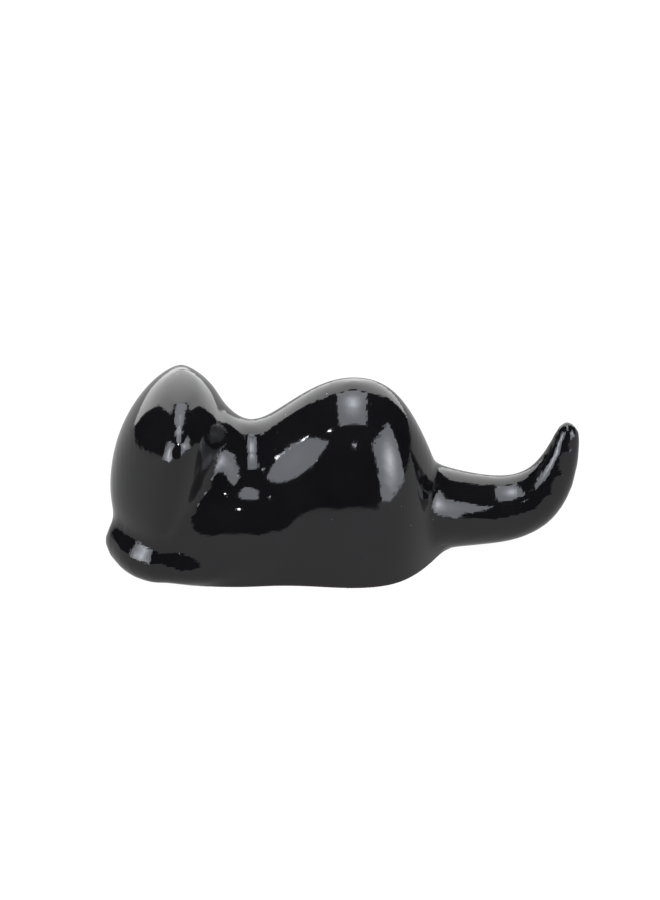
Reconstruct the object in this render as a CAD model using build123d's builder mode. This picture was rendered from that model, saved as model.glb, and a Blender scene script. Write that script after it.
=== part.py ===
"""Ceramic figurine of a lying cat: clay pieces luted together with slip under one coat of black glaze.

Millimetres, +Z up, table at z = 0. The cat lies along X with its nose towards -X and its tail
towards +X, so its left side is -Y. The origin is on the table, in the middle of the figurine.
"""
from build123d import *
import math
import os

# Overall
overall_length = 120.0    # glazed paws to glazed tail
glaze = 0.4
wall = 2.8                # of the hollow casts
slip = 0.3                # layer of slip in each joint

# Body: a hollow cast, an oval in every cross-section, open underneath
body_length = 71.0        # neck end to rump end
body_setback = 15.8       # neck end behind the front of the paws
body_half_width = 22.2    # at the hump
body_axis_height = 2.0    # the ovals' centres are above the table, so that the sides come in at the foot
hump_height = 45.0
saddle_height = 31.2      # between nape and hump

# Head: a tall hollow cast that fits over the neck, in plan two arcs that meet in a rounded point at each side
head_height = 46.4
head_half_length = 13.4
head_half_width = 20.3
head_setback = 2.2        # head's upright axis behind the neck end
head_point_share = 0.24   # radius of the rounded points, as a share of the half length

# Ears: the upper corners of the head, solid clay luted on across a sloping joint
ear_joint_reach = 14.5    # middle of the joint, sideways
ear_joint_height = 36.2
ear_joint_slope = 40.0    # degrees from upright

# Forelegs: an oval shoulder, a roll that folds in under the chin, and a round paw
shoulder_setback = 17.2   # centre behind the neck end
shoulder_reach = 11.4
shoulder_height = 9.0
shoulder_half_length = 21.5
shoulder_half_width = 10.0
shoulder_half_height = 16.4
foreleg_radius = 4.6
foreleg_straight = 4.0
foreleg_height = 4.4      # a little under the radius, so that the roll sits flat on the table
fold_radius = 14.0
fold_setback = 22.0       # centre of the fold behind the front of the paws
fold_shift = -3.6         # the cat folds its forelegs a little to its left
left_fold_turn = 75.0     # degrees
right_fold_turn = 55.0
left_paw_radius = 6.6
left_paw_reach = -7.7
right_paw_radius = 6.2
right_paw_reach = 4.5
right_paw_setback = 1.8   # behind the left paw
paw_height = 6.0

# Tail: a thick solid roll that runs back along the table and curls up to a rounded tip
tail_overlap = 9.1        # root inside the rump end
tail_root_radius = 10.4
tail_root_height = 12.4
tail_low_height = 8.6     # axis of the lowest part
tail_tip_radius = 2.0
tail_tip_height = 30.8
tail_tip_lip = 0.08       # the rounded end is this much fuller than the taper that it caps
tail_bulge = 0.29         # how far the curl's back reaches past the tip

# Foot
foot_thickness = 3.0
vent_diameter = 5.0
vent_setback = 30.0       # behind the neck end
glaze_line = 0.2          # the glaze stops this far above the table

front = -overall_length / 2
body_start = front + body_setback
head_x = body_start + head_setback
fold_x = front + fold_setback
left_paw_x = front + glaze + left_paw_radius
tail_start = body_start + body_length - tail_overlap
tail_end = overall_length / 2 - glaze - tail_tip_radius - tail_bulge
cutting_size = 4 * overall_length
smallest_oval = 1.0
parts_dir = "parts"


def save(part, name):
    """Name one finished piece and write it."""
    part.label = name
    export_step(part, f"{parts_dir}/{name}.step")


def cut_below(part, height=0.0):
    """Cut off what is lower than a height."""
    with BuildPart() as trimmed:
        add(part)
        with Locations((0, 0, height - cutting_size / 2)):
            Box(cutting_size, cutting_size, cutting_size, mode=Mode.SUBTRACT)
    return trimmed.part


def body_form(grow=0.0):
    """The body's outside, larger all round by grow. A hollow leaves out the ovals that are too small."""
    rise = hump_height - saddle_height
    # share of the length, share of the half width, height of the top
    outline = [
        (0.00, 0.55, 1.05 * saddle_height),
        (0.12, 0.79, 1.27 * saddle_height),
        (0.24, 0.92, 1.10 * saddle_height),
        (0.35, 0.92, saddle_height + 0.09 * rise),
        (0.45, 0.92, saddle_height + 0.55 * rise),
        (0.55, 0.96, saddle_height + 0.88 * rise),
        (0.66, 1.00, hump_height),
        (0.76, 0.95, saddle_height + 0.91 * rise),
        (0.86, 0.74, saddle_height + 0.39 * rise),
        (0.94, 0.39, 0.76 * saddle_height),
        (1.00, 0.12, 0.30 * saddle_height),
    ]
    with BuildPart() as body:
        for along, wide, top in outline:
            half_width = wide * body_half_width + grow
            if half_width < smallest_oval:
                continue
            x = body_start + along * body_length + (2 * along - 1) * grow
            with BuildSketch(Plane.YZ.offset(x)):
                with Locations((0, body_axis_height)):
                    Ellipse(half_width, top - body_axis_height + grow)
        loft()
    return cut_below(body.part)


def head_form(grow=0.0):
    """The head's outside with the ears, larger all round by grow: level outlines from the chin to the crown."""
    # share of the height; forward of the axis and half length in half lengths; half width in half widths
    outline = [
        (0.02, 0.30, 0.34, 0.45),
        (0.10, 0.28, 0.58, 0.74),
        (0.20, 0.23, 0.82, 0.92),
        (0.32, 0.17, 0.97, 1.00),
        (0.45, 0.10, 1.04, 1.03),
        (0.58, 0.03, 1.04, 1.03),
        (0.68, -0.03, 1.00, 1.03),
        (0.79, -0.10, 0.89, 1.03),
        (0.87, -0.13, 0.72, 0.98),
        (0.93, -0.14, 0.54, 0.83),
        (1.00, -0.16, 0.20, 0.28),
    ]
    lowest, highest = outline[0][0], outline[-1][0]
    with BuildPart() as head:
        for high, forward, long, wide in outline:
            end_shift = grow if high == highest else -grow if high == lowest else 0.0
            half_length = long * head_half_length + grow
            half_width = wide * head_half_width + grow
            if half_length < smallest_oval:
                continue
            middle = (head_x - forward * head_half_length, 0, high * head_height + end_shift)
            with BuildSketch(Plane(middle)) as level:
                with BuildLine():
                    ThreePointArc((0, -half_width), (-half_length, 0), (0, half_width))
                    ThreePointArc((0, half_width), (half_length, 0), (0, -half_width))
                make_face()
                fillet(level.vertices(), head_point_share * half_length)
        loft()
    return cut_below(head.part)


def beyond_ear_joint(side, grow=0.0):
    """All space on the ear's side of its joint, which moves in by grow."""
    slope = math.radians(ear_joint_slope)
    joint = Plane(
        origin=(head_x, side * ear_joint_reach, ear_joint_height),
        x_dir=(1, 0, 0),
        z_dir=(0, side * math.cos(slope), math.sin(slope)),
    )
    with BuildPart(joint.offset(-grow)) as space:
        Box(cutting_size, cutting_size, cutting_size, align=(Align.CENTER, Align.CENTER, Align.MIN))
    return space.part


def foreleg_form(side, grow=0.0):
    """One foreleg: the shoulder, the roll that folds in towards the middle, and the paw."""
    if side < 0:
        fold_turn, paw_radius = left_fold_turn, left_paw_radius
        paw = (left_paw_x, left_paw_reach, paw_height)
    else:
        fold_turn, paw_radius = right_fold_turn, right_paw_radius
        paw = (left_paw_x + right_paw_setback, right_paw_reach, paw_height)
    shoulder = (body_start + shoulder_setback, side * shoulder_reach, shoulder_height)
    half_sizes = (shoulder_half_length + grow, shoulder_half_width + grow, shoulder_half_height + grow)
    elbow = (fold_x, fold_shift + side * fold_radius)
    shoulder_egg = scale(Solid.make_sphere(1), by=half_sizes, mode=Mode.PRIVATE)
    with BuildPart() as foreleg:
        with BuildLine(Plane.XY.offset(foreleg_height)) as route:
            Line((elbow[0] + foreleg_straight, elbow[1]), elbow)
            CenterArc((fold_x, fold_shift), fold_radius, side * 90, side * fold_turn)
        with BuildSketch(Plane(origin=route.line @ 0, z_dir=route.line % 0)):
            Circle(foreleg_radius + grow)
        sweep(path=route.line)
        with Locations(shoulder):
            add(shoulder_egg)
        with Locations(paw):
            Sphere(paw_radius + grow)
    return cut_below(foreleg.part)


def left_foreleg_form(grow=0.0):
    """The left foreleg, as a seat for the right one."""
    return foreleg_form(-1, grow)


def tail_form(grow=0.0):
    """The tail: rings along a curve in the middle plane, with a ball for the tip."""
    reach = tail_end - tail_start
    # share of the reach along X, height
    bends = [
        (0.000, tail_root_height),
        (0.300, tail_low_height + 0.4),
        (0.550, tail_low_height),
        (0.700, tail_low_height + 0.8),
        (0.800, 0.38 * tail_tip_height),
        (0.890, 0.51 * tail_tip_height),
        (0.945, 0.67 * tail_tip_height),
        (0.980, 0.84 * tail_tip_height),
        (1.000, tail_tip_height),
    ]
    waypoints = [(tail_start + reach_share * reach, height) for reach_share, height in bends]
    # share of the path's length, share of the root radius
    taper = [
        (0.00, 1.00),
        (0.11, 0.91),
        (0.22, 0.85),
        (0.34, 0.79),
        (0.46, 0.74),
        (0.58, 0.66),
        (0.69, 0.54),
        (0.79, 0.43),
        (0.89, 0.32),
    ]
    with BuildLine(Plane.XZ) as route:
        Spline(*waypoints)
    rings = [(path_share, radius_share * tail_root_radius) for path_share, radius_share in taper]
    rings.append((1.0, tail_tip_radius))
    with BuildPart() as tail:
        for path_share, radius in rings:
            centre = route.line @ path_share
            with BuildSketch(Plane(origin=centre, x_dir=(0, 1, 0), z_dir=route.line % path_share)):
                Circle(radius + grow)
        loft()
        with Locations(route.line @ 1):
            Sphere(tail_tip_radius + tail_tip_lip + grow)
    return cut_below(tail.part)


def all_forms(grow=0.0):
    """Every form of the figurine in one list."""
    return [body_form(grow), head_form(grow), tail_form(grow), foreleg_form(-1, grow), foreleg_form(1, grow)]


def luted_piece(form, seats):
    """Cut a piece back from the forms that it is luted to, and make the slip that fills the joint."""
    with BuildPart() as piece:
        add(form)
        for seat in seats:
            add(seat(slip), mode=Mode.SUBTRACT)
    with BuildPart() as layer:
        add(form)
        for seat in seats:
            add(seat(), mode=Mode.SUBTRACT)
        add(piece.part, mode=Mode.SUBTRACT)
    return piece.part, layer.part


os.makedirs(parts_dir, exist_ok=True)

# Body shell: the neck end is closed, the underside is open
with BuildPart() as body_shell:
    add(body_form())
    add(body_form(-wall), mode=Mode.SUBTRACT)
save(body_shell.part, "body_shell")

# Foot plate: a slab of clay luted into the open underside, with a vent so that the kiln can't burst it
with BuildPart() as foot_opening:
    add(body_form(-wall))
    with Locations((0, 0, foot_thickness + cutting_size / 2)):
        Box(cutting_size, cutting_size, cutting_size, mode=Mode.SUBTRACT)
with BuildPart() as foot_plate:
    add(body_form(-wall - slip))
    with Locations((0, 0, foot_thickness + cutting_size / 2)):
        Box(cutting_size, cutting_size, cutting_size, mode=Mode.SUBTRACT)
    with Locations((body_start + vent_setback, 0, 0)):
        Hole(vent_diameter / 2)
with BuildPart() as foot_slip:
    add(foot_opening.part)
    add(body_form(-wall - slip), mode=Mode.SUBTRACT)
save(foot_plate.part, "foot_plate")
save(foot_slip.part, "foot_slip")

# Head shell: it fits over the neck, and the neck closes it
head_solid, neck_layer = luted_piece(head_form(), [body_form])
with BuildPart() as head_hollow:
    add(head_form(-wall))
    for side in (-1, 1):
        add(beyond_ear_joint(side, slip + wall), mode=Mode.SUBTRACT)
with BuildPart() as head_shell:
    add(head_solid)
    add(head_hollow.part, mode=Mode.SUBTRACT)
    for side in (-1, 1):
        add(beyond_ear_joint(side, slip), mode=Mode.SUBTRACT)
with BuildPart() as neck_slip:
    add(neck_layer)
    add(head_hollow.part, mode=Mode.SUBTRACT)
save(head_shell.part, "head_shell")
save(neck_slip.part, "neck_slip")

# Ears
for side_name, side in (("left", -1), ("right", 1)):
    with BuildPart() as ear:
        add(head_form())
        add(beyond_ear_joint(side), mode=Mode.INTERSECT)
    with BuildPart() as ear_slip:
        add(head_form())
        add(beyond_ear_joint(side, slip), mode=Mode.INTERSECT)
        add(beyond_ear_joint(side), mode=Mode.SUBTRACT)
    save(ear.part, f"{side_name}_ear")
    save(ear_slip.part, f"{side_name}_ear_slip")

# Tail
tail, tail_slip = luted_piece(tail_form(), [body_form])
save(tail, "tail")
save(tail_slip, "tail_slip")

# Forelegs: the right paw rests against the left foreleg
for side_name, side, seats in (
    ("left", -1, [head_form, body_form]),
    ("right", 1, [head_form, body_form, left_foreleg_form]),
):
    foreleg, foreleg_slip = luted_piece(foreleg_form(side), seats)
    save(foreleg, f"{side_name}_foreleg")
    save(foreleg_slip, f"{side_name}_foreleg_slip")

# Glaze: one glassy coat over all the clay, wiped off just above the table.
# The closed pocket under the chin stays dry, so the coat is the largest solid only.
with BuildPart() as clay:
    for form in all_forms():
        add(form)
with BuildPart() as glaze_everywhere:
    for form in all_forms(glaze):
        add(cut_below(form, glaze_line))
    add(clay.part, mode=Mode.SUBTRACT)
with BuildPart() as glaze_coat:
    add(glaze_everywhere.solids().sort_by(SortBy.VOLUME)[-1])
save(glaze_coat.part, "glaze_coat")
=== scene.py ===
"""Glossy black ceramic figurine of a lying cat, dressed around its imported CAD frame.

The glaze coat is modelled as a potter builds the cat: plain forms for the body, head, shoulders,
forelegs and tail are pressed together, the joints are smoothed over, and one glassy coat covers them.
The clay pieces and the slip between them are the CAD's own, and show only at the bare foot.
"""

import logging
import math
from dataclasses import dataclass
from enum import Enum

import bpy
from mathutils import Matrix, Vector

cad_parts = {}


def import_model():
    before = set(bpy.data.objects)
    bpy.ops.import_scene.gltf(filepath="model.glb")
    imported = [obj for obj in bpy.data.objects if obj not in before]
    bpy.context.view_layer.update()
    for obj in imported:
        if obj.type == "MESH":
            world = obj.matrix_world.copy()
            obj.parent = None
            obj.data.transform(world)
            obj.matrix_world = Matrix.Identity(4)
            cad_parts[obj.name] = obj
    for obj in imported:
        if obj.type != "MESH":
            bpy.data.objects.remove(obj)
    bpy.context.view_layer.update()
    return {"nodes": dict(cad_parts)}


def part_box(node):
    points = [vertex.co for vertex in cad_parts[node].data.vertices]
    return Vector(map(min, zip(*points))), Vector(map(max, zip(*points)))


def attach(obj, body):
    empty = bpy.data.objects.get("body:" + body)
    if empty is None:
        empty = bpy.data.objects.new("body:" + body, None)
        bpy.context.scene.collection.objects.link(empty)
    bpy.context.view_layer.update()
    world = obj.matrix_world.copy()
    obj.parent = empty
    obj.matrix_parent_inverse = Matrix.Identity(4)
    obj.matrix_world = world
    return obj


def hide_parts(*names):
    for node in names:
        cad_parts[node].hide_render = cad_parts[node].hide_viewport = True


log = logging.getLogger("cat")

Point = tuple[float, float, float]

MM = 0.001
BODY = "root"
GLAZE_NODE = "glaze_coat"
CLAY_NODES = (
    "body_shell",
    "foot_plate",
    "head_shell",
    "left_ear",
    "right_ear",
    "left_foreleg",
    "right_foreleg",
    "tail",
)
SLIP_NODES = (
    "foot_slip",
    "neck_slip",
    "left_ear_slip",
    "right_ear_slip",
    "left_foreleg_slip",
    "right_foreleg_slip",
    "tail_slip",
)
RING_CORNERS = 16
FORM_LEVELS = 3
BALL_SEGMENTS = 48
BALL_RINGS = 24
NOISE_ROUGHNESS = 0.4
WHITE = "#ffffff"


# ---------------------------------------------------------------- small tools


def linear(hex_colour: str) -> tuple[float, float, float, float]:
    """Turn an sRGB hex colour into linear light.

    Args:
        hex_colour: Six hex digits, with or without a leading hash.

    Returns:
        Red, green, blue and an alpha of one.
    """
    digits = hex_colour.lstrip("#")
    channels = [int(digits[i : i + 2], 16) / 255 for i in (0, 2, 4)]
    toe, toe_slope, lift, stretch, power = 0.04045, 12.92, 0.055, 1.055, 2.4
    light = [c / toe_slope if c <= toe else ((c + lift) / stretch) ** power for c in channels]
    return (light[0], light[1], light[2], 1.0)


def mm(*lengths: float) -> tuple[float, ...]:
    """Turn millimetres into metres."""
    return tuple(length * MM for length in lengths)


def add_node(
    tree: bpy.types.NodeTree,
    kind: str,
    settings: dict | None = None,
    links: dict | None = None,
) -> bpy.types.Node:
    """Add a node with its settings and its links.

    Args:
        tree: The node tree that takes the node.
        kind: The node's type name.
        settings: Attribute names, or input names and numbers, with their values.
        links: Input names or numbers, each with the output that feeds it.

    Returns:
        The new node.
    """
    node = tree.nodes.new(kind)
    for name, value in (settings or {}).items():
        if isinstance(name, str) and hasattr(node, name):
            setattr(node, name, value)
        else:
            node.inputs[name].default_value = value
    for name, output in (links or {}).items():
        tree.links.new(output, node.inputs[name])
    return node


def deselect() -> None:
    """Leave edit mode and clear the selection."""
    if bpy.context.object and bpy.context.object.mode != "OBJECT":
        bpy.ops.object.mode_set(mode="OBJECT")
    bpy.ops.object.select_all(action="DESELECT")


def edit_all(piece: bpy.types.Object) -> None:
    """Open a piece alone in edit mode, with everything in it selected.

    Args:
        piece: The object to edit.
    """
    deselect()
    piece.select_set(True)
    bpy.context.view_layer.objects.active = piece
    bpy.ops.object.mode_set(mode="EDIT")
    bpy.ops.mesh.select_all(action="SELECT")


def apply_modifier(piece: bpy.types.Object, kind: str, **settings: float | str) -> None:
    """Add a modifier to a piece, set it and apply it.

    Args:
        piece: The object to change.
        kind: The modifier's type name.
        **settings: The modifier's attributes.
    """
    deselect()
    bpy.context.view_layer.objects.active = piece
    modifier = piece.modifiers.new(kind.lower(), kind)
    for name, value in settings.items():
        setattr(modifier, name, value)
    bpy.ops.object.modifier_apply(modifier=modifier.name)


def new_material(name: str) -> tuple[bpy.types.Material, bpy.types.NodeTree]:
    """Make an empty node material.

    Args:
        name: The finish's plain name.

    Returns:
        The material and its node tree.
    """
    material = bpy.data.materials.new(name)
    material.use_nodes = True
    material.node_tree.nodes.clear()
    return material, material.node_tree


def wear(piece: bpy.types.Object, material: bpy.types.Material) -> None:
    """Give a piece one material."""
    piece.data.materials.clear()
    piece.data.materials.append(material)


# ---------------------------------------------------------------- shaping


@dataclass(frozen=True)
class Ring:
    """One oval on the way through a form: its centre, two half sizes and lean about Y in degrees."""

    centre: Point
    across: float
    other: float
    lean: float = 0.0


class Stack(Enum):
    """Which way a stack of rings runs, with the turn that faces a flat circle that way."""

    ALONG_X = (0.0, math.pi / 2, 0.0)
    UPRIGHT = (0.0, 0.0, 0.0)


def extruded_form(
    name: str,
    rings: list[Ring],
    direction: Stack,
    pinches: tuple[tuple[float, float], ...] = (),
) -> bpy.types.Object:
    """Model a rounded form: a filled circle, extruded and resized ring by ring, then subdivided.

    Args:
        name: The form's name.
        rings: The ovals, in order.
        direction: Which way the form runs.
        pinches: Steps that point the oval's ends along Y, each a share of its half width and how much
            what lies beyond that is narrowed.

    Returns:
        The closed form.
    """
    deselect()
    first = rings[0]
    bpy.ops.mesh.primitive_circle_add(
        vertices=RING_CORNERS,
        radius=1.0,
        fill_type="NGON",
        location=first.centre,
        rotation=direction.value,
    )
    form = bpy.context.object
    form.name = name
    along_x = direction is Stack.ALONG_X
    for share, narrowing in pinches:
        pinch(form, first.centre, share, narrowing)
    bpy.ops.object.mode_set(mode="EDIT")
    bpy.ops.mesh.select_all(action="SELECT")
    before = Ring(first.centre, 1.0, 1.0)
    for number, ring in enumerate(rings):
        if number:
            bpy.ops.mesh.extrude_region_move()
        step = Vector(ring.centre) - Vector(before.centre)
        bpy.ops.transform.translate(value=step)
        if before.lean:
            turn_about_y(-before.lean, ring.centre)
        across, other = ring.across / before.across, ring.other / before.other
        scale = (1.0, across, other) if along_x else (across, other, 1.0)
        bpy.ops.transform.resize(value=scale, center_override=ring.centre)
        if ring.lean:
            turn_about_y(ring.lean, ring.centre)
        before = ring
    bpy.ops.mesh.select_all(action="SELECT")
    bpy.ops.mesh.normals_make_consistent(inside=False)
    bpy.ops.object.mode_set(mode="OBJECT")
    bpy.ops.object.transform_apply(location=True, rotation=True, scale=True)
    apply_modifier(form, "SUBSURF", levels=FORM_LEVELS, render_levels=FORM_LEVELS)
    return form


def pinch(form: bpy.types.Object, centre: Point, share: float, narrowing: float) -> None:
    """Narrow the ends of a flat ring of radius one, towards the line through its centre along Y.

    Args:
        form: The upright ring.
        centre: Its centre.
        share: How far out the ends start.
        narrowing: What their width is multiplied by.
    """
    for part in (*form.data.edges, *form.data.polygons):
        part.select = False
    for vertex in form.data.vertices:
        vertex.select = abs(vertex.co.y) > share
    bpy.ops.object.mode_set(mode="EDIT")
    bpy.ops.mesh.select_mode(type="VERT")
    bpy.ops.transform.resize(value=(narrowing, 1, 1), center_override=centre)
    bpy.ops.object.mode_set(mode="OBJECT")


def turn_about_y(degrees: float, centre: Point) -> None:
    """Lean what is selected about the Y axis.

    Args:
        degrees: How far its upward side leans towards +X.
        centre: The point that stays.
    """
    bpy.ops.transform.rotate(value=math.radians(degrees), orient_axis="Y", center_override=centre)


def ball(name: str, centre: Point, half_sizes: Point) -> bpy.types.Object:
    """Model a ball or an egg.

    Args:
        name: The form's name.
        centre: Its middle.
        half_sizes: Its half sizes along X, Y and Z.

    Returns:
        The closed form.
    """
    deselect()
    bpy.ops.mesh.primitive_uv_sphere_add(
        segments=BALL_SEGMENTS,
        ring_count=BALL_RINGS,
        radius=1.0,
        location=centre,
        scale=half_sizes,
    )
    form = bpy.context.object
    form.name = name
    bpy.ops.object.transform_apply(location=True, rotation=True, scale=True)
    return form


# ---------------------------------------------------------------- the cat's forms

# places and radii of the balls that fill out each foreleg between paw and elbow, in millimetres
LEFT_KNUCKLES = (
    ((-50.8, -11.4, 6.0), 6.9),
    ((-48.9, -13.6, 5.9), 6.8),
    ((-46.4, -15.2, 5.7), 6.6),
)
RIGHT_KNUCKLES = (
    ((-49.2, 6.8, 5.9), 6.4),
    ((-46.4, 8.6, 5.7), 6.2),
)


@dataclass
class BodyForm:
    """The body: ovals along X from the neck over the hump to the rump."""

    start: float = -44.2 * MM
    length: float = 71.0 * MM
    midline: float = 0.0
    half_width: float = 22.75 * MM
    axis_height: float = 1.6 * MM
    hump_height: float = 47.0 * MM
    # share of the length, of the half width and of the hump's height
    outline: tuple[tuple[float, float, float], ...] = (
        (0.000, 0.56, 0.75),
        (0.080, 0.74, 0.89),
        (0.160, 0.88, 0.92),
        (0.220, 0.94, 0.85),
        (0.285, 0.95, 0.710),
        (0.370, 0.93, 0.770),
        (0.470, 0.94, 0.895),
        (0.570, 0.99, 0.985),
        (0.665, 1.02, 1.012),
        (0.760, 1.00, 0.985),
        (0.840, 0.88, 0.880),
        (0.910, 0.64, 0.680),
        (0.965, 0.38, 0.460),
        (1.000, 0.12, 0.240),
    )

    def build(self) -> bpy.types.Object:
        """Model the body.

        Returns:
            The closed form.
        """
        rings = []
        for along, wide, high in self.outline:
            centre = (self.start + along * self.length, self.midline, self.axis_height)
            half_height = high * self.hump_height - self.axis_height
            rings.append(Ring(centre, wide * self.half_width, half_height))
        return extruded_form("body", rings, Stack.ALONG_X)


@dataclass
class HeadForm:
    """The head: pointed ovals in plan from chin to crown, whose upper points are the ears."""

    axis_x: float = -42.0 * MM
    midline: float = 0.0
    height: float = 46.6 * MM
    half_length: float = 14.4 * MM
    half_width: float = 21.5 * MM
    # share of the height, shift forward and half length as shares of the half length, share of width
    outline: tuple[tuple[float, float, float, float], ...] = (
        (0.02, 0.30, 0.36, 0.46),
        (0.10, 0.28, 0.60, 0.75),
        (0.20, 0.23, 0.85, 0.93),
        (0.32, 0.17, 0.99, 1.01),
        (0.45, 0.10, 1.05, 1.04),
        (0.58, 0.03, 1.04, 1.04),
        (0.68, -0.03, 1.00, 1.04),
        (0.79, -0.10, 0.89, 1.03),
        (0.865, -0.13, 0.73, 0.99),
        (0.92, -0.14, 0.58, 0.86),
        (0.965, -0.15, 0.41, 0.60),
        (1.00, -0.19, 0.28, 0.30),
    )
    pinches: tuple[tuple[float, float], ...] = ((0.8, 0.70), (0.6, 0.84))

    def build(self) -> bpy.types.Object:
        """Model the head with its ears.

        Returns:
            The closed form.
        """
        rings = []
        for high, forward, long, wide in self.outline:
            centre = (self.axis_x - forward * self.half_length, self.midline, high * self.height)
            rings.append(Ring(centre, long * self.half_length, wide * self.half_width))
        return extruded_form("head", rings, Stack.UPRIGHT, self.pinches)


@dataclass
class ShoulderForm:
    """One shoulder: an egg that swells the chest behind the head."""

    side: int
    setback: float = -27.0
    reach: float = 11.6
    height: float = 9.0
    half_sizes: Point = (22.0, 10.6, 17.0)

    def build(self) -> bpy.types.Object:
        """Model the shoulder from its sizes in millimetres."""
        centre = mm(self.setback, self.side * self.reach, self.height)
        return ball("shoulder", centre, mm(*self.half_sizes))


@dataclass
class ForelegForm:
    """One foreleg: a roll beside the chest that folds in to a round paw under the chin."""

    side: int
    turn: float
    paw: Point
    paw_radius: float
    fold_centre: Point = mm(-38.0, -3.6, 4.8)
    fold_radius: float = 13.9 * MM
    radius: float = 5.1 * MM
    straight: float = 6.0 * MM
    corners: int = 32
    steps: int = 16

    def build(self) -> list[bpy.types.Object]:
        """Spin a circle round the fold, and close it with a ball at the elbow and one for the paw.

        Returns:
            The roll and its two balls.
        """
        x, y, z = self.fold_centre
        elbow_y = y + self.side * self.fold_radius
        deselect()
        bpy.ops.mesh.primitive_circle_add(
            vertices=self.corners,
            radius=self.radius,
            fill_type="NGON",
            location=(x + self.straight, elbow_y, z),
            rotation=Stack.ALONG_X.value,
        )
        roll = bpy.context.object
        bpy.ops.object.mode_set(mode="EDIT")
        bpy.ops.mesh.select_all(action="SELECT")
        bpy.ops.mesh.extrude_region_move()
        bpy.ops.transform.translate(value=(-self.straight, 0, 0))
        bpy.ops.mesh.spin(
            steps=self.steps,
            angle=-self.side * math.radians(self.turn),
            center=self.fold_centre,
            axis=(0, 0, 1),
        )
        bpy.ops.mesh.select_all(action="SELECT")
        bpy.ops.mesh.normals_make_consistent(inside=False)
        bpy.ops.object.mode_set(mode="OBJECT")
        bpy.ops.object.transform_apply(location=True, rotation=True, scale=True)
        elbow = ball("elbow", (x + self.straight, elbow_y, z), (self.radius,) * 3)
        return [roll, elbow, ball("paw", self.paw, (self.paw_radius,) * 3)]


@dataclass
class TailForm:
    """The tail: round rings along a curve in the middle plane, down to a small last one at the tip."""

    midline: float = 0.0
    # distance along X, height and radius in millimetres, and lean in degrees
    path: tuple[tuple[float, float, float, float], ...] = (
        (17.7, 12.4, 12.0, 0.0),
        (22.8, 10.3, 11.4, 0.0),
        (29.3, 9.1, 10.2, 0.0),
        (36.0, 8.7, 9.2, 0.0),
        (42.5, 8.7, 8.8, 12.0),
        (48.6, 11.1, 8.1, 36.0),
        (52.4, 15.6, 6.6, 56.0),
        (54.6, 20.6, 5.4, 67.0),
        (55.9, 25.6, 4.3, 73.0),
        (56.6, 29.6, 3.6, 76.0),
        (56.9, 32.6, 2.8, 80.0),
        (56.8, 34.0, 1.4, 82.0),
    )

    def build(self) -> bpy.types.Object:
        """Model the tail as an extruded roll with a rounded tip.

        Returns:
            The closed form.
        """
        rings = []
        for x, z, radius, lean in self.path:
            centre = (x * MM, self.midline, z * MM)
            rings.append(Ring(centre, radius * MM, radius * MM, lean))
        return extruded_form("tail", rings, Stack.ALONG_X)


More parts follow.
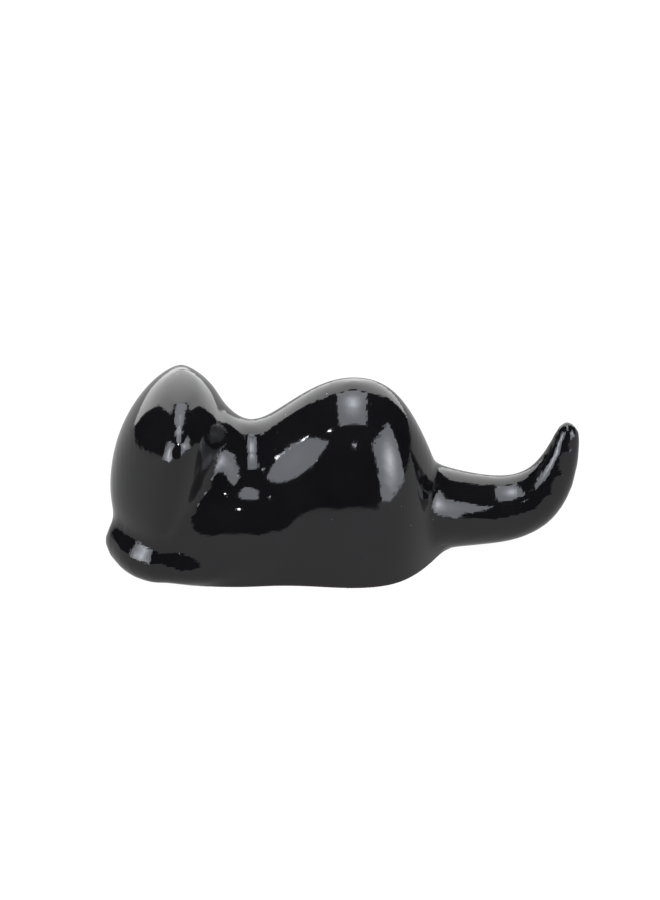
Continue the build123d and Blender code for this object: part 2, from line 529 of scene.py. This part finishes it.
@dataclass
class GlazedCat:
    """The whole glazed outside: the forms pressed together, smoothed and given the glaze's thickness.

    The voxels take out the walls inside, the smoothing rounds the joints as a wet sponge does, and one
    subdivision makes the faces small enough for a clean reflection.
    """

    glaze: float = 0.4 * MM
    glaze_line: float = 0.2 * MM
    margin: float = 0.02 * MM
    voxel: float = 1.24 * MM
    smoothing: int = 14
    smoothing_share: float = 0.5
    skin_levels: int = 1

    def press_together(self, forms: list[bpy.types.Object]) -> bpy.types.Object:
        """Join the forms into one skin without inner walls, and smooth its joints.

        Args:
            forms: The closed forms, which overlap.

        Returns:
            The closed skin.
        """
        deselect()
        for form in forms:
            form.select_set(True)
        bpy.context.view_layer.objects.active = forms[0]
        bpy.ops.object.join()
        skin = bpy.context.object
        skin.name = "glaze"
        apply_modifier(skin, "REMESH", mode="VOXEL", voxel_size=self.voxel)
        apply_modifier(
            skin, "SMOOTH", factor=self.smoothing_share, iterations=self.smoothing
        )
        apply_modifier(
            skin, "SUBSURF", levels=self.skin_levels, render_levels=self.skin_levels
        )
        return skin

    def fit_into(self, skin: bpy.types.Object, corners: tuple[Vector, Vector]) -> None:
        """Bring the skin to the CAD coat's exact size, with its foot on the table.

        Args:
            skin: The closed skin, which reaches below the table.
            corners: The CAD coat's lowest and highest corners.
        """
        low, high = (Vector(corner) for corner in corners)
        places = [vertex.co for vertex in skin.data.vertices]
        own_low = Vector(min(place[axis] for place in places) for axis in range(3))
        own_high = Vector(max(place[axis] for place in places) for axis in range(3))
        scale, middle = [], []
        for axis in (0, 1):
            room = high[axis] - low[axis] - 2 * self.margin
            scale.append(room / (own_high[axis] - own_low[axis]))
            off = low[axis] + high[axis] - (own_low[axis] + own_high[axis]) * scale[axis]
            middle.append(off / 2)
        scale.append((high.z - self.margin) / own_high.z)
        edit_all(skin)
        bpy.ops.transform.resize(value=scale, center_override=(0, 0, 0))
        bpy.ops.transform.translate(value=(*middle, 0))
        bpy.ops.object.mode_set(mode="OBJECT")
        log.info("skin scaled by %s to the coat's box", [round(share, 4) for share in scale])

    def open_foot(self, skin: bpy.types.Object) -> None:
        """Cut the skin off at the glaze line and give it the glaze's thickness.

        Args:
            skin: The closed skin.
        """
        edit_all(skin)
        bpy.ops.mesh.bisect(
            plane_co=(0, 0, self.glaze_line), plane_no=(0, 0, 1), clear_inner=True
        )
        bpy.ops.object.mode_set(mode="OBJECT")
        apply_modifier(skin, "SOLIDIFY", thickness=self.glaze, offset=-1.0)
        bpy.ops.object.shade_smooth()

    def build(self, corners: tuple[Vector, Vector]) -> bpy.types.Object:
        """Model the glaze coat.

        Args:
            corners: The CAD coat's lowest and highest corners.

        Returns:
            The finished coat, riding in place of the CAD's.
        """
        skin = self.press_together(self.forms())
        self.fit_into(skin, corners)
        self.open_foot(skin)
        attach(skin, BODY)
        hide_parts(GLAZE_NODE)
        log.info("glaze coat has %d faces", len(skin.data.polygons))
        return skin

    def forms(self) -> list[bpy.types.Object]:
        """Model every form of the cat.

        Returns:
            The closed forms, which overlap.
        """
        left, right = -1, 1
        forms = [BodyForm().build(), HeadForm().build()]
        forms += [ShoulderForm(side).build() for side in (left, right)]
        for foreleg in (
            ForelegForm(left, turn=75.0, paw=mm(-52.7, -7.7, 6.2), paw_radius=7.0 * MM),
            ForelegForm(right, turn=60.0, paw=mm(-50.9, 4.5, 6.2), paw_radius=6.6 * MM),
        ):
            forms += foreleg.build()
        for place, radius in LEFT_KNUCKLES + RIGHT_KNUCKLES:
            forms.append(ball("knuckle", mm(*place), mm(radius, radius, radius)))
        forms.append(TailForm().build())
        return forms


# ---------------------------------------------------------------- finishes


def noise(
    tree: bpy.types.NodeTree, place: bpy.types.NodeSocket, size: float, detail: float
) -> bpy.types.NodeSocket:
    """Add soft noise whose lumps are a real size.

    Args:
        tree: The material's nodes.
        place: Object coordinates.
        size: Distance between lumps in metres.
        detail: How many finer octaves it has.

    Returns:
        The noise's value.
    """
    settings = {"Scale": 1 / size, "Detail": detail, "Roughness": NOISE_ROUGHNESS}
    return add_node(tree, "ShaderNodeTexNoise", settings, {"Vector": place}).outputs["Fac"]


@dataclass(frozen=True)
class BlackGlaze:
    """Glossy black stoneware glaze: glass coloured with metal oxides and fired until it flows.

    To the eye it is a black mirror that is never quite flat. The melt leaves a faint slow ripple and a
    finer orange peel, a few pinholes where gas came through, and a thin brown break where it runs off
    the edge above the foot. Its scattered pale dots are painted glints: sparkles of light painted in.
    """

    deep: str = "#0b0b0c"
    cloudy: str = "#121112"
    thin: str = "#2a1b12"
    # pale colour of the painted glints: tiny sparkles of light painted into the glaze's colour
    painted_glint: str = "#b9b4aa"
    roughness: float = 0.035
    dull_roughness: float = 0.07
    ior: float = 1.52
    ripple_size: float = 9.0 * MM
    ripple_depth: float = 0.05 * MM
    ripple_strength: float = 0.35
    peel_size: float = 1.1 * MM
    peel_depth: float = 0.006 * MM
    peel_strength: float = 0.25
    pit_spacing: float = 5.5 * MM
    pit_size: float = 0.16 * MM
    pit_depth: float = 0.10 * MM
    # spacing and radius of the painted glint dots
    painted_glint_spacing: float = 4.2 * MM
    painted_glint_size: float = 0.13 * MM
    # share of a dot's radius that is fully its own
    dot_core: float = 0.6
    # heights between which the brown break fades, and how much of it shows at the lower one
    thin_from: float = 0.2 * MM
    thin_to: float = 0.9 * MM
    thin_amount: float = 0.8

    def build(self) -> bpy.types.Material:
        """Make the material.

        Returns:
            The material.
        """
        material, tree = new_material("black_glaze")
        place = add_node(tree, "ShaderNodeTexCoord").outputs["Object"]
        shader = add_node(tree, "ShaderNodeBsdfPrincipled", {"IOR": self.ior})
        output = add_node(tree, "ShaderNodeOutputMaterial")
        tree.links.new(shader.outputs["BSDF"], output.inputs["Surface"])

        ripple = noise(tree, place, self.ripple_size, detail=1.0)
        peel = noise(tree, place, self.peel_size, detail=2.0)
        pits = self.dots(tree, place, self.pit_spacing, self.pit_size)
        # painted glints: scattered pale dots that stand in for tiny sparkles of light
        painted_glints = self.dots(tree, place, self.painted_glint_spacing, self.painted_glint_size)

        cloud = add_node(
            tree,
            "ShaderNodeMix",
            {"data_type": "RGBA", "A": linear(self.deep), "B": linear(self.cloudy)},
            {"Factor": ripple},
        )
        height = add_node(tree, "ShaderNodeSeparateXYZ", links={"Vector": place}).outputs["Z"]
        edge = add_node(
            tree,
            "ShaderNodeMapRange",
            {
                "From Min": self.thin_from,
                "From Max": self.thin_to,
                "To Min": self.thin_amount,
                "To Max": 0.0,
            },
            {"Value": height},
        )
        broken = self.blend(tree, cloud.outputs["Result"], linear(self.thin), edge.outputs["Result"])
        # paints the glints into the base colour as pale dots
        glint_painted_colour = self.blend(tree, broken, linear(self.painted_glint), painted_glints)
        tree.links.new(glint_painted_colour, shader.inputs["Base Color"])

        dull = add_node(
            tree,
            "ShaderNodeMapRange",
            {"To Min": self.roughness, "To Max": self.dull_roughness},
            {"Value": peel},
        )
        tree.links.new(dull.outputs["Result"], shader.inputs["Roughness"])

        slow = add_node(
            tree,
            "ShaderNodeBump",
            {"Strength": self.ripple_strength, "Distance": self.ripple_depth},
            {"Height": ripple},
        )
        fine = add_node(
            tree,
            "ShaderNodeBump",
            {"Strength": self.peel_strength, "Distance": self.peel_depth},
            {"Height": peel, "Normal": slow.outputs["Normal"]},
        )
        pitted = add_node(
            tree,
            "ShaderNodeBump",
            {"Strength": 1.0, "Distance": self.pit_depth, "invert": True},
            {"Height": pits, "Normal": fine.outputs["Normal"]},
        )
        tree.links.new(pitted.outputs["Normal"], shader.inputs["Normal"])
        return material

    def dots(
        self, tree: bpy.types.NodeTree, place: bpy.types.NodeSocket, spacing: float, size: float
    ) -> bpy.types.NodeSocket:
        """Add scattered round dots.

        Args:
            tree: The material's nodes.
            place: Object coordinates.
            spacing: Mean distance between dots in metres.
            size: A dot's radius in metres.

        Returns:
            One inside a dot, nought outside.
        """
        cells = add_node(tree, "ShaderNodeTexVoronoi", {"Scale": 1 / spacing}, {"Vector": place})
        spot = add_node(
            tree,
            "ShaderNodeMapRange",
            {
                "From Min": self.dot_core * size / spacing,
                "From Max": size / spacing,
                "To Min": 1.0,
                "To Max": 0.0,
            },
            {"Value": cells.outputs["Distance"]},
        )
        return spot.outputs["Result"]

    def blend(
        self,
        tree: bpy.types.NodeTree,
        below: bpy.types.NodeSocket,
        colour: tuple[float, float, float, float],
        amount: bpy.types.NodeSocket,
    ) -> bpy.types.NodeSocket:
        """Lay a colour over another.

        Args:
            tree: The material's nodes.
            below: The colour underneath.
            colour: The colour on top, in linear light.
            amount: How much of it shows.

        Returns:
            The mixed colour.
        """
        mix = add_node(
            tree, "ShaderNodeMix", {"data_type": "RGBA", "B": colour}, {"A": below, "Factor": amount}
        )
        return mix.outputs["Result"]


@dataclass(frozen=True)
class FiredClay:
    """Unglazed fired clay: matt and slightly sandy, with grog grains and a warmer blush from the kiln.

    To the eye it is a dry, pale, chalky surface. Slip is the same clay without grog, smoother and
    darker.
    """

    name: str
    pale: str
    blush: str
    grain_size: float
    grain_depth: float
    roughness: float = 0.85
    roughness_spread: float = 0.1
    ior: float = 1.5
    cloud_size: float = 14.0 * MM
    grain_strength: float = 0.8

    def build(self) -> bpy.types.Material:
        """Make the material.

        Returns:
            The material.
        """
        material, tree = new_material(self.name)
        place = add_node(tree, "ShaderNodeTexCoord").outputs["Object"]
        shader = add_node(tree, "ShaderNodeBsdfPrincipled", {"IOR": self.ior})
        output = add_node(tree, "ShaderNodeOutputMaterial")
        tree.links.new(shader.outputs["BSDF"], output.inputs["Surface"])
        cloud = noise(tree, place, self.cloud_size, detail=3.0)
        grain = noise(tree, place, self.grain_size, detail=4.0)
        colour = add_node(
            tree,
            "ShaderNodeMix",
            {"data_type": "RGBA", "A": linear(self.pale), "B": linear(self.blush)},
            {"Factor": cloud},
        )
        tree.links.new(colour.outputs["Result"], shader.inputs["Base Color"])
        dry = add_node(
            tree,
            "ShaderNodeMapRange",
            {
                "To Min": self.roughness - self.roughness_spread,
                "To Max": self.roughness + self.roughness_spread,
            },
            {"Value": grain},
        )
        tree.links.new(dry.outputs["Result"], shader.inputs["Roughness"])
        rough = add_node(
            tree,
            "ShaderNodeBump",
            {"Strength": self.grain_strength, "Distance": self.grain_depth},
            {"Height": grain},
        )
        tree.links.new(rough.outputs["Normal"], shader.inputs["Normal"])
        return material


# ---------------------------------------------------------------- studio


def towards(azimuth: float, elevation: float) -> Vector:
    """Point from the cat outwards.

    Args:
        azimuth: Degrees round from the cat's left side towards its tail.
        elevation: Degrees above the table.

    Returns:
        A vector of length one.
    """
    around, above = math.radians(azimuth), math.radians(elevation)
    return Vector(
        (
            math.sin(around) * math.cos(above),
            -math.cos(around) * math.cos(above),
            math.sin(above),
        )
    )


@dataclass(frozen=True)
class StudioCamera:
    """The camera: from the cat's left side, looking down on it."""

    azimuth: float = -2.0
    elevation: float = 30.0
    distance: float = 0.6
    target: Point = mm(-2.56, 11.73, 20.33)
    view_height: float = 232.2 * MM
    sensor: float = 36.0

    def build(self) -> bpy.types.Object:
        """Add the camera and make it the scene's.

        Returns:
            The camera.
        """
        deselect()
        back = towards(self.azimuth, self.elevation)
        bpy.ops.object.camera_add(
            location=Vector(self.target) + back * self.distance,
            rotation=back.to_track_quat("Z", "Y").to_euler(),
        )
        camera = bpy.context.object
        camera.data.sensor_width = self.sensor
        camera.data.lens = self.sensor * self.distance / self.view_height
        bpy.context.scene.camera = camera
        return camera


@dataclass(frozen=True)
class Softbox:
    """A white cloth box over a lamp, brighter in its middle, facing the cat."""

    name: str
    azimuth: float
    elevation: float
    width: float
    height: float
    distance: float = 0.5
    strength: float = 3.4
    middle_strength: float = 9.0
    # how much smaller the bright middle is than a ball as wide as two sheets
    middle_shrink: float = 2.2
    aim_height: float = 20.0 * MM
    tint: str = "#f2f6ff"

    def build(self) -> bpy.types.Object:
        """Add the box's glowing front.

        Returns:
            The front.
        """
        deselect()
        way = towards(self.azimuth, self.elevation)
        bpy.ops.mesh.primitive_plane_add(
            size=1.0,
            location=way * self.distance + Vector((0.0, 0.0, self.aim_height)),
            rotation=way.to_track_quat("Z", "Y").to_euler(),
        )
        front = bpy.context.object
        front.name = self.name
        front.scale = (self.width, self.height, 1.0)
        material, tree = new_material(self.name)
        place = add_node(tree, "ShaderNodeTexCoord").outputs["Object"]
        shrink = (self.middle_shrink,) * 3
        spread = add_node(tree, "ShaderNodeMapping", {"Scale": shrink}, {"Vector": place})
        glow = add_node(
            tree,
            "ShaderNodeTexGradient",
            {"gradient_type": "QUADRATIC_SPHERE"},
            {"Vector": spread.outputs["Vector"]},
        )
        power = add_node(
            tree,
            "ShaderNodeMath",
            {"operation": "MULTIPLY_ADD", 1: self.middle_strength, 2: self.strength},
            {0: glow.outputs["Fac"]},
        )
        lamp = add_node(
            tree,
            "ShaderNodeEmission",
            {"Color": linear(self.tint)},
            {"Strength": power.outputs["Value"]},
        )
        output = add_node(tree, "ShaderNodeOutputMaterial")
        tree.links.new(lamp.outputs["Emission"], output.inputs["Surface"])
        wear(front, material)
        front.visible_camera = False
        return front


@dataclass(frozen=True)
class Studio:
    """The white table, the lit white backdrop behind it, the softboxes and the dark room beyond."""

    table_size: tuple[float, float] = (3.0, 1.6)
    table_middle: float = 0.05
    backdrop_size: tuple[float, float] = (1.15, 1.16)
    backdrop_y: float = 0.55
    backdrop_middle: float = 0.30
    backdrop_light: float = 2.2
    table_light: float = 0.5
    camera_light: float = 0.97
    room: float = 0.004
    acrylic: str = "#4a4a4a"
    acrylic_roughness: float = 0.9
    softboxes: tuple[Softbox, ...] = (
        Softbox("softbox_top", 0.0, 88.0, 0.33, 0.62),
        Softbox("softbox_tail_side", 54.0, 16.0, 0.46, 0.42),
        Softbox("softbox_head_side", -54.0, 9.0, 0.38, 0.60),
        Softbox("lamp_middle", 0.0, 36.0, 0.016, 0.016, strength=60.0),
        Softbox("lamp_left", -38.0, 47.0, 0.03, 0.012, strength=60.0),
        Softbox("lamp_far_left", -62.0, 40.0, 0.02, 0.014, strength=60.0),
    )

    def build(self) -> None:
        """Add the table, the backdrop, the lights and the room."""
        middle = (0.0, self.table_middle, 0.0)
        self.sheet("table", self.table_size, middle, 0.0, self.table_light)
        backdrop = self.sheet(
            "backdrop",
            self.backdrop_size,
            (0.0, self.backdrop_y, self.backdrop_middle),
            math.pi / 2,
            self.backdrop_light,
        )
        backdrop.visible_camera = False
        for softbox in self.softboxes:
            softbox.build()
        self.build_room()

    def sheet(
        self,
        name: str,
        size: tuple[float, float],
        middle: Point,
        lean: float,
        light: float,
    ) -> bpy.types.Object:
        """Add a flat sheet of acrylic, which looks white because it is lit from behind.

        Args:
            name: The sheet's name.
            size: Its two sides in metres.
            middle: Its middle.
            lean: Its turn about X in radians.
            light: How brightly it glows.

        Returns:
            The sheet.
        """
        deselect()
        bpy.ops.mesh.primitive_plane_add(size=1.0, location=middle, rotation=(lean, 0, 0))
        sheet = bpy.context.object
        sheet.name = name
        sheet.scale = (*size, 1.0)
        material, tree = new_material(f"{name}_acrylic")
        looking = add_node(tree, "ShaderNodeLightPath").outputs["Is Camera Ray"]
        glow = add_node(
            tree,
            "ShaderNodeMapRange",
            {"To Min": light, "To Max": self.camera_light},
            {"Value": looking},
        )
        shader = add_node(
            tree,
            "ShaderNodeBsdfPrincipled",
            {
                "Base Color": linear(self.acrylic),
                "Roughness": self.acrylic_roughness,
                "Specular IOR Level": 0.0,
                "Emission Color": linear(WHITE),
            },
            {"Emission Strength": glow.outputs["Result"]},
        )
        output = add_node(tree, "ShaderNodeOutputMaterial")
        tree.links.new(shader.outputs["BSDF"], output.inputs["Surface"])
        wear(sheet, material)
        return sheet

    def build_room(self) -> None:
        """Make the room dark to the glaze, and white where the camera looks past the table."""
        world = bpy.data.worlds.new("room")
        world.use_nodes = True
        tree = world.node_tree
        tree.nodes.clear()
        looking = add_node(tree, "ShaderNodeLightPath").outputs["Is Camera Ray"]
        light = add_node(
            tree,
            "ShaderNodeMapRange",
            {"To Min": self.room, "To Max": 1.0},
            {"Value": looking},
        )
        background = add_node(
            tree,
            "ShaderNodeBackground",
            {"Color": linear(WHITE)},
            {"Strength": light.outputs["Result"]},
        )
        output = add_node(tree, "ShaderNodeOutputWorld")
        tree.links.new(background.outputs["Background"], output.inputs["Surface"])
        bpy.context.scene.world = world
        bpy.context.scene.view_settings.view_transform = "Standard"


def main() -> None:
    """Load the frame, then make the camera, the studio, the cat's glaze and the finishes."""
    logging.basicConfig(level=logging.INFO, format="%(name)s: %(message)s")
    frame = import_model()
    StudioCamera().build()
    Studio().build()

    coat = GlazedCat().build(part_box(GLAZE_NODE))
    wear(coat, BlackGlaze().build())
    clay = FiredClay(
        "fired_clay", pale="#e3d6c2", blush="#d2bda0", grain_size=0.7 * MM, grain_depth=0.05 * MM
    )
    slip = FiredClay(
        "fired_slip", pale="#cdbfa8", blush="#bfa98a", grain_size=0.3 * MM, grain_depth=0.01 * MM
    )
    for names, finish in ((CLAY_NODES, clay.build()), (SLIP_NODES, slip.build())):
        for name in names:
            wear(frame["nodes"][name], finish)
            log.info("%s has the finish %s", name, finish.name)


if __name__ == "__main__":
    main()
